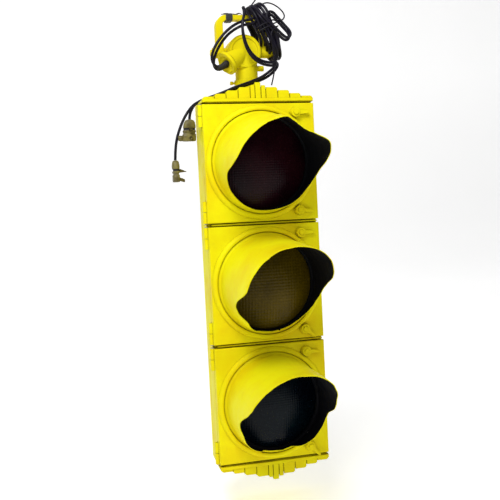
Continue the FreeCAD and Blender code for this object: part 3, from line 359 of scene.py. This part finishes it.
def make_cords(rubber, plugs):
    """Both cords and the tie wire, each one curve in place of its CAD nodes."""
    routes = {
        "cord_1": (cord_route(LEAD_1, TAIL_1, -17.5, (0.0, -0.5, -3.2), (0.0, -1.0, 2.0), 3),
                   ["cord_1_lead", "cord_hank", "cord_front_loop", "cord_1_tail"]),
        "cord_2": (cord_route(LEAD_2, TAIL_2, -10.5, (0.5, 1.0, 3.4), (-2.5, 2.0, -3.0), 5),
                   ["cord_2_lead", "cord_side_loop", "cord_2_tail"])}
    for number, (name, (points, cad)) in enumerate(routes.items(), 1):
        cord = nurbs(name, points, CORD_D, rubber, "head")
        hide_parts(*cad)
        length = length_of(cord)
        print(name, "length", round(length, 3))
    route = wire_route()
    wire = nurbs("tie_wire_run", route, WIRE_D, rubber, "head")
    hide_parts("tie_wire")
    length = length_of(wire)
    print("tie wire length", round(length, 3))


# ---- Materials ----

def material(name, colour, roughness, **sockets):
    """A new material with a plain Principled shader and these values in its other sockets."""
    made = bpy.data.materials.new(name)
    made.use_nodes = True
    shader = made.node_tree.nodes["Principled BSDF"]
    shader.inputs["Base Color"].default_value = (*colour, 1.0)
    shader.inputs["Roughness"].default_value = roughness
    for socket, value in sockets.items():
        shader.inputs[socket.replace("_", " ")].default_value = value
    return made


class Graph:
    """Adds nodes to a material."""

    def __init__(self, made):
        """Start from a material's own shader, with the object's own coordinates."""
        self.tree = made.node_tree
        self.shader = self.tree.nodes["Principled BSDF"]
        self.place = self.tree.nodes.new("ShaderNodeTexCoord").outputs["Object"]

    def node(self, kind, **settings):
        """A new node with these settings."""
        made = self.tree.nodes.new(kind)
        for name, value in settings.items():
            setattr(made, name, value)
        return made

    def link(self, out, socket):
        """Join an output to an input."""
        self.tree.links.new(out, socket)

    def noise(self, scale, detail=3.0, roughness=0.55, stretch=None):
        """Noise over the surface; stretch scales it differently along each axis."""
        made = self.node("ShaderNodeTexNoise")
        made.inputs["Scale"].default_value = scale
        made.inputs["Detail"].default_value = detail
        made.inputs["Roughness"].default_value = roughness
        place = self.place
        if stretch:
            mapping = self.node("ShaderNodeMapping")
            mapping.inputs["Scale"].default_value = stretch
            self.link(place, mapping.inputs["Vector"])
            place = mapping.outputs["Vector"]
        self.link(place, made.inputs["Vector"])
        return made.outputs["Fac"]

    def ranged(self, value, low, high, to_low=0.0, to_high=1.0):
        """A value's part between low and high, spread over another range."""
        made = self.node("ShaderNodeMapRange")
        made.inputs["From Min"].default_value = low
        made.inputs["From Max"].default_value = high
        made.inputs["To Min"].default_value = to_low
        made.inputs["To Max"].default_value = to_high
        self.link(value, made.inputs["Value"])
        return made.outputs["Result"]

    def product(self, a, b):
        """Two values multiplied."""
        made = self.node("ShaderNodeMath", operation="MULTIPLY")
        self.link(a, made.inputs[0])
        self.link(b, made.inputs[1])
        return made.outputs["Value"]

    def mixed(self, factor, a, b):
        """Colour a, and colour b where factor is 1; each is a colour or a socket."""
        made = self.node("ShaderNodeMix", data_type="RGBA")
        self.link(factor, made.inputs[0])
        for value, socket in ((a, made.inputs[6]), (b, made.inputs[7])):
            if isinstance(value, tuple):
                socket.default_value = (*value, 1.0)
            else:
                self.link(value, socket)
        return made.outputs[2]

    def crevice_shade(self, distance):
        """1 in narrow gaps and corners, where shade falls, 0 in the open: the mask for painted shade.
        """
        made = self.node("ShaderNodeAmbientOcclusion", samples=4)
        made.inputs["Distance"].default_value = distance
        return self.ranged(made.outputs["AO"], 0.75, 0.25)

    def bump(self, height, strength, distance, soft_edge=0.0):
        """Fine relief on the shader, over edges rounded by soft_edge if there is one."""
        made = self.node("ShaderNodeBump")
        made.inputs["Strength"].default_value = strength
        made.inputs["Distance"].default_value = distance
        self.link(height, made.inputs["Height"])
        if soft_edge:
            bevel = self.node("ShaderNodeBevel", samples=4)
            bevel.inputs["Radius"].default_value = soft_edge
            self.link(bevel.outputs["Normal"], made.inputs["Normal"])
        self.link(made.outputs["Normal"], self.shader.inputs["Normal"])

    def colour(self, out):
        """Set the shader's colour from an output."""
        self.link(out, self.shader.inputs["Base Color"])

    def roughness(self, out):
        """Set the shader's roughness from an output."""
        self.link(out, self.shader.inputs["Roughness"])


YELLOW = (0.84, 0.78, 0.005)
YELLOW_OLD = (0.74, 0.64, 0.006)
YELLOW_WARM = (0.78, 0.62, 0.004)
YELLOW_DUSTY = (0.60, 0.50, 0.02)
# Dark brown painted into gaps and corners: painted shade, with some grime
SHADE_AND_GRIME = (0.13, 0.085, 0.008)
BARE = (0.20, 0.17, 0.10)


def paint(name, yellow, texture_scale, relief, wear, soft_edge, shade_and_grime_most):
    """Yellow enamel brushed over metal: orange peel, warm patches, painted shade with some grime in
    corners and gaps, small chips.

    relief is the surface's unevenness; fewer chips show where wear is higher; shade_and_grime_most is
    how much of the painted shade and grime shows in the darkest corners.
    """
    made = material(name, yellow, 0.5, Specular_IOR_Level=0.05)
    g = Graph(made)
    patches = g.ranged(g.noise(9.0, 4.0), 0.42, 0.68)
    base = g.mixed(patches, yellow, YELLOW_WARM)
    dust = g.ranged(g.noise(70.0, 5.0, 0.7), 0.55, 0.85, 0.0, 0.35)
    base = g.mixed(dust, base, YELLOW_DUSTY)
    # Painted shade: the paint turns dark brown in gaps and corners where shade falls, in patches like
    # grime
    patchy_shade_and_grime = g.ranged(g.noise(45.0, 3.0), 0.25, 0.6, shade_and_grime_most - 0.45, shade_and_grime_most)
    base = g.mixed(g.product(g.crevice_shade(0.007), patchy_shade_and_grime), base, SHADE_AND_GRIME)
    chips = g.ranged(g.noise(130.0, 6.0, 0.75), wear, wear + 0.015)
    g.colour(g.mixed(chips, base, BARE))
    g.roughness(g.ranged(g.noise(40.0, 4.0), 0.3, 0.7, 0.36, 0.56))
    g.bump(g.noise(texture_scale, 4.0, 0.6), relief, 0.0006, soft_edge)
    return made


def inside_black():
    """Flat black paint inside a visor, chalky, with faint scuffs."""
    made = material("inside_black", (0.004, 0.004, 0.006), 0.8, Specular_IOR_Level=0.15)
    g = Graph(made)
    scuffs = g.ranged(g.noise(60.0, 6.0, 0.7, (1.0, 6.0, 1.0)), 0.55, 0.85, 0.0, 0.3)
    g.colour(g.mixed(scuffs, (0.003, 0.003, 0.005), (0.014, 0.013, 0.012)))
    g.roughness(g.ranged(g.noise(30.0, 4.0), 0.3, 0.7, 0.6, 0.85))
    g.bump(g.noise(500.0, 4.0), 0.3, 0.0004)
    return made


def lens_glass(name, deep, bright):
    """Coloured pressed glass, dark with no lamp lit behind it."""
    made = material(name, deep, 0.26, Specular_IOR_Level=0.12)
    g = Graph(made)
    cloud = g.ranged(g.noise(14.0, 4.0), 0.35, 0.7)
    dust = g.ranged(g.noise(160.0, 5.0, 0.7), 0.45, 0.8, 0.0, 0.5)
    g.colour(g.mixed(dust, g.mixed(cloud, deep, bright), tuple(0.8 * c + 0.002 for c in bright)))
    g.roughness(g.ranged(g.noise(80.0, 4.0), 0.3, 0.7, 0.16, 0.34))
    g.bump(g.noise(220.0, 3.0), 0.06, 0.0003)
    return made


def metal(name, colour, roughness, tarnish):
    """Bare or plated metal with tarnished spots."""
    made = material(name, colour, roughness, Metallic=1.0)
    g = Graph(made)
    spots = g.ranged(g.noise(120.0, 6.0, 0.7), 0.45, 0.75)
    g.colour(g.mixed(spots, colour, tarnish))
    g.roughness(g.ranged(g.noise(90.0, 4.0), 0.3, 0.7, roughness - 0.08, roughness + 0.15))
    g.bump(g.noise(400.0, 4.0, 0.6), 0.25, 0.0002, 0.0003)
    return made


def moulded(name, colour, second, roughness, scale, relief, **sockets):
    """Rubber, plastic, cloth or porcelain, with a fine surface and blotches of a second colour."""
    made = material(name, colour, roughness, **sockets)
    g = Graph(made)
    blotch = g.ranged(g.noise(60.0, 5.0, 0.65), 0.35, 0.7)
    g.colour(g.mixed(blotch, colour, second))
    g.roughness(g.ranged(g.noise(100.0, 4.0), 0.3, 0.7, roughness - 0.08, roughness + 0.12))
    g.bump(g.noise(scale, 4.0, 0.6), relief, 0.0004)
    return made


def wrapped_tape():
    """Cotton friction tape: a fine weave, fluffed and dusty."""
    made = material("tape_cloth", (0.02, 0.02, 0.021), 0.8, Sheen_Weight=0.3)
    g = Graph(made)
    weave = g.node("ShaderNodeTexWave", wave_type="BANDS", bands_direction="DIAGONAL")
    weave.inputs["Scale"].default_value = 420.0
    weave.inputs["Distortion"].default_value = 1.5
    g.link(g.place, weave.inputs["Vector"])
    fluff = g.ranged(g.noise(140.0, 5.0, 0.7), 0.5, 0.8, 0.0, 0.5)
    g.colour(g.mixed(fluff, (0.016, 0.016, 0.018), (0.10, 0.095, 0.085)))
    g.bump(weave.outputs["Fac"], 0.5, 0.0004)
    return made


def lamp_bulb():
    """Clear glass of an unlit lamp, seen only through a lens or with a door open."""
    made = material("lamp_clear", (0.9, 0.9, 0.88), 0.08, Transmission_Weight=0.85, IOR=1.5)
    g = Graph(made)
    g.colour(g.mixed(g.ranged(g.noise(40.0, 4.0), 0.4, 0.7), (0.92, 0.92, 0.9), (0.7, 0.68, 0.6)))
    g.bump(g.noise(120.0, 2.0), 0.05, 0.0003)
    return made


def make_materials():
    """Every slot's material, under the slot's name."""
    black = (0.0022, 0.0018, 0.0045)
    return {
        # The last number of each paint is how strong its painted shade and grime in corners is
        "cast_yellow": paint("cast_paint", YELLOW, 260.0, 0.35, 0.80, 0.0022, 0.75),
        "sheet_yellow": paint("sheet_paint", YELLOW, 420.0, 0.18, 0.78, 0.0, 0.5),
        "hanger_yellow": paint("hanger_paint", YELLOW_OLD, 170.0, 0.55, 0.76, 0.0020, 0.8),
        "inside_black": inside_black(),
        "lens_red": lens_glass("glass_red", (0.010, 0.0015, 0.004), (0.028, 0.004, 0.008)),
        "lens_amber": lens_glass("glass_amber", (0.066, 0.044, 0.001), (0.12, 0.080, 0.002)),
        "lens_green": lens_glass("glass_green", (0.0008, 0.0018, 0.005), (0.001, 0.006, 0.009)),
        "seal_rubber": moulded("seal_rubber_grey", (0.008, 0.007, 0.009), (0.02, 0.018, 0.018),
                               0.75, 300.0, 0.4),
        "zinc_steel": metal("zinc_plate", (0.55, 0.54, 0.50), 0.38, (0.26, 0.20, 0.13)),
        "bright_aluminium": metal("spun_aluminium", (0.86, 0.87, 0.88), 0.16, (0.72, 0.72, 0.72)),
        "plug_brass": metal("blade_brass", (0.15, 0.125, 0.05), 0.5, (0.03, 0.025, 0.012)),
        "porcelain": moulded("white_porcelain", (0.82, 0.80, 0.74), (0.66, 0.62, 0.52),
                             0.2, 60.0, 0.1, Coat_Weight=0.5),
        "lamp_glass": lamp_bulb(),
        "terminal_black": moulded("bakelite", (0.018, 0.014, 0.012), (0.04, 0.03, 0.024),
                                  0.35, 90.0, 0.15),
        "lead_insulation": moulded("cloth_lead", (0.16, 0.15, 0.13), (0.08, 0.07, 0.06),
                                   0.8, 900.0, 0.5),
        "cord_black": moulded("rubber_cord", black, (0.007, 0.005, 0.016), 0.42, 500.0, 0.3,
                              Specular_IOR_Level=0.22),
        "tape_black": wrapped_tape(),
        "plug_olive": moulded("olive_plug", (0.20, 0.17, 0.04), (0.07, 0.052, 0.012), 0.5, 220.0,
                              0.45)}


def dress_cad_nodes(materials):
    """Give every carried-over CAD node the worked-up material of its own slot."""
    for node in NODES.values():
        for holder in node.material_slots:
            holder.material = materials[holder.material.name.split(".")[0]]


# ---- Visors ----

def around(table, angle):
    """The table's value at an angle, straight between its rows, going round the full circle."""
    rows = sorted((a % 360.0, value) for a, value in table)
    rows = [(rows[-1][0] - 360.0, rows[-1][1])] + rows + [(rows[0][0] + 360.0, rows[0][1])]
    angle = angle % 360.0
    for (a, low), (b, high) in zip(rows, rows[1:]):
        if a <= angle <= b:
            return low + (high - low) * (angle - a) / max(1e-6, b - a)
    return rows[0][1]


def eased(table, angle, half_width):
    """The same, averaged over a few degrees each side, so that its corners are round."""
    steps = range(-4, 5)
    return sum(around(table, angle + half_width * k / 4.0) for k in steps) / len(steps)


def visor(section, materials):
    """A bent sheet tube with its dented rim and its cut-away lower lip, black inside."""
    centre_z = SECTIONS[section]
    rings = []
    for r, y in VISOR_FLARE:
        rings.append(round_ring(r, y, centre_z, VISOR_COLUMNS))
    rings += [[] for _ in range(VISOR_ROWS)]
    for i in range(VISOR_COLUMNS):
        angle = 360.0 * i / VISOR_COLUMNS
        a = math.radians(angle)
        rough = noise.noise(Vector((math.cos(a) * 9.0, math.sin(a) * 9.0, centre_z)))
        reach = min(VISOR_DEPTH, eased(CUTS[section], angle, 2.5) + 1.8 * rough)
        rim = eased(RIMS[section], angle, 1.8)
        for j in range(VISOR_ROWS):
            y = VISOR_FOOT + (reach - VISOR_FOOT) * j / (VISOR_ROWS - 1)
            share = (y / VISOR_DEPTH) ** 1.25
            spot = Vector((math.cos(a) * 3.0, math.sin(a) * 3.0, y * 0.03 + centre_z))
            wave = 0.7 * noise.noise(spot)
            r = VISOR_BASE_R + (rim - VISOR_BASE_R) * share + wave * share
            ring = rings[j + len(VISOR_FLARE)]
            ring.append(at(r * math.cos(a), -y, centre_z + r * math.sin(a)))
    verts = [point for ring in rings for point in ring]
    black = materials["inside_black"]
    piece = new_piece(f"visor_{section}_sheet", verts, quads(len(rings), VISOR_COLUMNS, True),
                      [materials["sheet_yellow"], black, black], f"{section}_door")
    for polygon in piece.data.polygons[:2 * VISOR_COLUMNS]:
        polygon.material_index = 1
    skin = piece.modifiers.new("thickness", "SOLIDIFY")
    skin.thickness = VISOR_SHEET
    skin.offset = -1.0
    skin.material_offset = 1
    skin.material_offset_rim = 0
    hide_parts(f"visor_{section}")


# ---- Lenses ----

def lens_relief(section, x, z):
    """The pressed pattern's height: square prisms on the middle lens, fine ribs on the others."""
    pitch = 6.5 if section == "middle" else 5.2
    across = abs(math.sin(math.pi * x / pitch))
    along = abs(math.sin(math.pi * z / pitch))
    if section == "middle":
        return 0.55 * (across + along)
    return 0.30 * across + 0.22 * along


def lens(section, materials, slot):
    """A domed, pressed glass lens with its flat rim behind the door's bezel."""
    centre_z = SECTIONS[section]
    rings = []
    for j in range(1, LENS_ROWS + 1):
        r = LENS_R * j / LENS_ROWS
        dome = LENS_MIDDLE + LENS_RISE * (r / LENS_R) ** 2
        fade = min(1.0, (LENS_R - r) / 4.0)
        ring = []
        for a in circle(LENS_COLUMNS):
            x = r * math.cos(a)
            z = r * math.sin(a)
            ring.append(at(x, dome - fade * lens_relief(section, x, z), centre_z + z))
        rings.append(ring)
    for r, y in LENS_RIM:
        rings.append(round_ring(r, y, centre_z, LENS_COLUMNS))
    verts, faces = capped(rings)
    piece = new_piece(f"lens_{section}_glass", verts, faces, [materials[slot]], f"{section}_door")
    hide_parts(f"lens_{section}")


# ---- Plugs ----

def hung(points, top, facing):
    """Turn plug points about the vertical, and hang them from the cord's end."""
    turn = Matrix.Rotation(math.radians(facing), 3, "Z")
    return [at(*(turn @ Vector(p) + Vector(top))) for p in points]


def plug_ring(z, wide, deep, square, columns):
    """A level outline between an ellipse and a rectangle."""
    ring = []
    for a in circle(columns):
        c = math.cos(a)
        s = math.sin(a)
        x = wide * math.copysign(abs(c) ** square, c)
        y = deep * math.copysign(abs(s) ** square, s)
        ring.append((x, y, z))
    return ring


def plug_lug(top, facing):
    """The round grip at the foot of the upper plug's left side, waisted where it meets the plug."""
    profile = [(-9.0, 3.6), (-14.0, 4.2), (-15.6, 3.9), (-16.8, 5.2), (-19.5, 6.2), (-22.5, 6.2),
               (-25.0, 5.4), (-26.4, 4.2), (-26.6, 2.6), (-25.8, 1.6)]
    rings = []
    for x, r in profile:
        ring = [(x, r * math.cos(a), r * math.sin(a) - 40.0) for a in circle(32)]
        rings.append(hung(ring, top, facing))
    return rings


def plug_body(name, materials):
    """A moulded plug: cord collar, domed shoulders, a pinched finger grip and a wide foot."""
    top, facing = PLUG_TOPS[name]
    sections = [(-0.2, 3.8, 3.8, 1.0), (-0.8, 5.6, 5.4, 0.95), (-2.5, 8.2, 6.4, 0.85),
                (-5.5, 9.8, 7.2, 0.75), (-9.0, 10.8, 7.8, 0.7), (-13.0, 11.4, 8.0, 0.65),
                (-17.5, 11.8, 7.6, 0.6), (-18.5, 11.6, 7.2, 0.6), (-19.0, 10.9, 5.6, 0.6),
                (-22.8, 11.1, 5.6, 0.6), (-23.4, 11.9, 6.8, 0.55), (-24.0, 12.2, 7.2, 0.5),
                (-27.0, 12.4, 7.2, 0.5), (-28.0, 11.2, 5.6, 0.5), (-30.5, 11.2, 5.4, 0.5),
                (-31.5, 12.6, 7.0, 0.5), (-37.0, 13.0, 7.2, 0.5), (-44.0, 13.2, 7.4, 0.55),
                (-45.8, 12.6, 6.8, 0.6), (-46.4, 11.2, 5.8, 0.6)]
    lean = 0.07 if name == "plug_1" else 0.02
    breadth = 1.14 if name == "plug_1" else 1.0
    rings = []
    for row in sections:
        ring = [(breadth * x + lean * z, y, z) for x, y, z in plug_ring(*row, PLUG_COLUMNS)]
        rings.append(hung(ring, top, facing))
    verts, faces = capped(rings)
    if name == "plug_1":
        verts, faces = with_part(verts, faces, plug_lug(top, facing))
    piece = new_piece(f"{name}_moulding", verts, faces,
                      [materials["plug_olive"], materials["seal_rubber"]], "head")
    groove = [i for i, row in enumerate(sections) if GROOVE[0] < row[0] < GROOVE[1]]
    first = groove[0] * PLUG_COLUMNS
    last = (groove[-1] + 1) * PLUG_COLUMNS
    for polygon in piece.data.polygons[first:last]:
        polygon.material_index = 1
    return piece


def plug_blades(name, materials):
    """The plug's prongs: a thin pointed one above and a round one below, joined to one piece."""
    top, facing = PLUG_TOPS[name]
    front = -7.0
    verts = []
    faces = []
    for outline in (
            [(3.8, 4.2, 4), (3.8, 3.7, -3), (3.2, 2.5, -8), (2.2, 1.3, -12), (1.0, 0.5, -16)],
            [(3.7, 3.7, 4), (3.7, 3.8, -3), (3.6, 3.8, -8), (3.3, 3.5, -10.5), (2.0, 2.2, -11.5)]):
        thin = outline[-1][1] < 1.0
        rings = []
        for wide, high, out in outline:
            ring = plug_ring(0.0, wide, high, 0.6 if thin else 0.85, 32)
            level = -22.0 + 0.16 * out if thin else -40.0 + 0.35 * out
            upright = [(x, front + out, level + y) for x, y, _ in ring]
            rings.append(hung(upright, top, facing))
        verts, faces = with_part(verts, faces, rings)
    return new_piece(f"{name}_prongs", verts, faces, [materials["plug_brass"]], "head")


def make_plugs(materials):
    """Both plugs, as the pieces that hang on each cord's end."""
    plugs = {}
    for name in PLUG_TOPS:
        body = plug_body(name, materials)
        blades = plug_blades(name, materials)
        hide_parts(name)
        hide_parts("plug_blades")
        plugs[name] = [body, blades]
    return plugs


# ---- Tape on the bail, and where the cords come out ----

def tape_turns():
    """Rings of tape wound round the bail's bar in loose, overlapping turns."""
    draw = random.Random(11)
    rings = []
    for j in range(34):
        x = -44.5 + 15.0 * j / 33.0
        step = 1.1 * ((x * 0.42) % 1.0)
        ends = min(1.0, j / 2.0, (33 - j) / 2.0)
        ring = []
        for a in circle(40):
            c = math.cos(a)
            s = math.sin(a)
            ruffle = 1.1 * noise.noise(Vector((x * 0.4, 1.8 * c, 1.8 * s)))
            out = 0.4 + (1.8 + step + ruffle) * ends
            y = (10.0 + out) * math.copysign(abs(c) ** 0.35, c)
            z = (5.3 + out) * math.copysign(abs(s) ** 0.45, s)
            ring.append(at(x + draw.uniform(-0.3, 0.3), BAR_Y + y, BAR_Z + z))
        rings.append(ring)
    return rings


def tape_end():
    """Rings of the tape's loose end, twisted to a string that lies along the bar."""
    rings = []
    for j in range(70):
        t = j / 69.0
        middle = Vector((-52.0 + 46.0 * t, 79.0 + 3.2 * math.sin(13.0 * t),
                         579.6 + 1.9 * abs(math.sin(9.0 * t))))
        twist = 7.0 * t
        ring = []
        for a in circle(12):
            y = 1.9 * math.cos(a)
            z = 0.9 * math.sin(a)
            ring.append(at(middle.x, middle.y + y * math.cos(twist) - z * math.sin(twist),
                           middle.z + y * math.sin(twist) + z * math.cos(twist)))
        rings.append(ring)
    return rings


def tape_wrap(materials):
    """The friction tape: its turns and its loose end, as one piece."""
    verts, faces = capped(tape_turns())
    verts, faces = with_part(verts, faces, tape_end())
    piece = new_piece("tape_wrap", verts, faces, [materials["tape_black"]], "hanger")
    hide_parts("bail_tape")


def entry_plate(materials):
    """The painted disc in the wiring entry's mouth, dished, with a raised ring."""
    mouth = Vector((-53.0, 54.0, 468.8))
    axis = Vector((-44.0, -26.0, -27.2)).normalized()
    side = axis.cross(Vector((0.0, 0.0, 1.0))).normalized()
    high = side.cross(axis)
    profile = [(20.3, -3.0), (20.3, 0.4), (19.2, 1.0), (17.6, 0.9), (16.4, -0.6), (13.0, -1.2),
               (12.0, -0.5), (10.6, -0.4), (9.6, -1.3), (3.0, -1.6)]
    rings = []
    for r, out in profile:
        ring = []
        for a in circle(72):
            ring.append(at(*(mouth + axis * out + side * (r * math.cos(a)) + high * (r * math.sin(a)))))
        rings.append(ring)
    verts, faces = capped(rings)
    piece = new_piece("entry_plate", verts, faces, [materials["hanger_yellow"]], "head")
    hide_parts("cord_bushing")


def entry_boot(materials):
    """The tapered, ribbed rubber boot round both cords where they leave the entry."""
    stations = [(-49.0, 56.0, 470.5), (-54.0, 54.6, 467.6), (-59.0, 52.9, 464.6),
                (-64.0, 51.6, 461.6), (-69.0, 50.4, 459.8), (-74.5, 49.4, 459.6)]
    stations = [Vector(station) for station in stations]
    between = Vector((0.0, -7.0, 2.4)).normalized()
    rings = []
    count = 41
    for j in range(count):
        t = j / (count - 1) * (len(stations) - 1)
        k = min(int(t), len(stations) - 2)
        middle = stations[k].lerp(stations[k + 1], t - k)
        along = (stations[k + 1] - stations[k]).normalized()
        wide = (between - along * between.dot(along)).normalized()
        thin = along.cross(wide)
        taper = 1.0 - 0.28 * j / (count - 1)
        rib = 0.55 * math.sin(2.0 * math.pi * j / 5.0)
        ends = 0.55 + 0.45 * min(1.0, (count - 1 - j) / 2.0)
        ring = []
        for a in circle(36):
            u = (10.2 * taper + rib) * ends * math.cos(a)
            v = (7.0 * taper + rib) * ends * math.sin(a)
            ring.append(at(*(middle + wide * u + thin * v)))
        rings.append(ring)
    verts, faces = capped(rings)
    piece = new_piece("entry_boot", verts, faces, [materials["seal_rubber"]], "head")
    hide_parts("cord_bushing")


# ---- Light and floor ----

def area_light(name, place, aim, size, power, colour):
    """A square soft light that shines from its place towards its aim."""
    data = bpy.data.lights.new(name, "AREA")
    data.shape = "SQUARE"
    data.size = size
    data.energy = power
    data.color = colour
    lamp = bpy.data.objects.new(name, data)
    lamp.location = place
    lamp.rotation_mode = "QUATERNION"
    lamp.rotation_quaternion = (Vector(aim) - Vector(place)).to_track_quat("-Z", "Y")
    bpy.context.scene.collection.objects.link(lamp)


def make_floor():
    """A pale floor that curves up into a pale wall behind the object."""
    pale = material("pale_stage", PALE, 0.9, Emission_Color=WHITE, Emission_Strength=0.42)
    g = Graph(pale)
    g.colour(g.mixed(g.ranged(g.noise(2.0, 2.0), 0.3, 0.7), PALE, (0.91, 0.91, 0.91)))
    columns = 5
    rows = []
    profile = [(-6.0, 0.0), (0.0, 0.0), (4.0, 0.0)]
    profile += [(4.0 + 2.0 * math.sin(math.radians(a)), 2.0 - 2.0 * math.cos(math.radians(a)))
                for a in range(10, 91, 10)]
    profile += [(6.0, 8.0)]
    for y, z in profile:
        rows.append([Vector((-9.0 + 4.5 * i, y, FLOOR_Z + z)) for i in range(columns)])
    mesh = bpy.data.meshes.new("floor")
    mesh.from_pydata([tuple(v) for row in rows for v in row], [], quads(len(rows), columns, False))
    for polygon in mesh.polygons:
        polygon.use_smooth = True
    mesh.materials.append(pale)
    floor = bpy.data.objects.new("floor", mesh)
    bpy.context.scene.collection.objects.link(floor)


def make_light():
    """A key light from the upper left, a weak fill, a light on the wall, and an even sky.

    The sky is white where the camera looks straight at it, and dimmer as a light.
    """
    area_light("key", (-0.7, -1.25, 1.05), (0.0, 0.0, -0.3), 0.9, 36.0, (1.0, 1.0, 0.98))
    area_light("fill", (2.4, -2.6, 0.4), (0.0, 0.0, -0.5), 2.2, 5.0, (1.0, 0.98, 0.95))
    area_light("back_wall", (0.0, 1.5, 2.6), (0.0, 5.5, 0.0), 3.0, 42.0, (1.0, 1.0, 1.0))
    world = bpy.data.worlds.new("studio")
    world.use_nodes = True
    nodes = world.node_tree.nodes
    sky = nodes["Background"]
    sky.inputs["Color"].default_value = WHITE
    seen = nodes.new("ShaderNodeLightPath")
    level = nodes.new("ShaderNodeMapRange")
    level.inputs["To Min"].default_value = 0.28
    level.inputs["To Max"].default_value = 1.0
    world.node_tree.links.new(seen.outputs["Is Camera Ray"], level.inputs["Value"])
    world.node_tree.links.new(level.outputs["Result"], sky.inputs["Strength"])
    bpy.context.scene.world = world
    bpy.context.scene.view_settings.view_transform = "Standard"


make_camera()
MATERIALS = make_materials()
make_cords(MATERIALS["cord_black"], make_plugs(MATERIALS))
dress_cad_nodes(MATERIALS)
for section_name, lens_slot in zip(SECTIONS, ("lens_red", "lens_amber", "lens_green")):
    visor(section_name, MATERIALS)
    lens(section_name, MATERIALS, lens_slot)
tape_wrap(MATERIALS)
entry_plate(MATERIALS)
entry_boot(MATERIALS)
make_floor()
make_light()
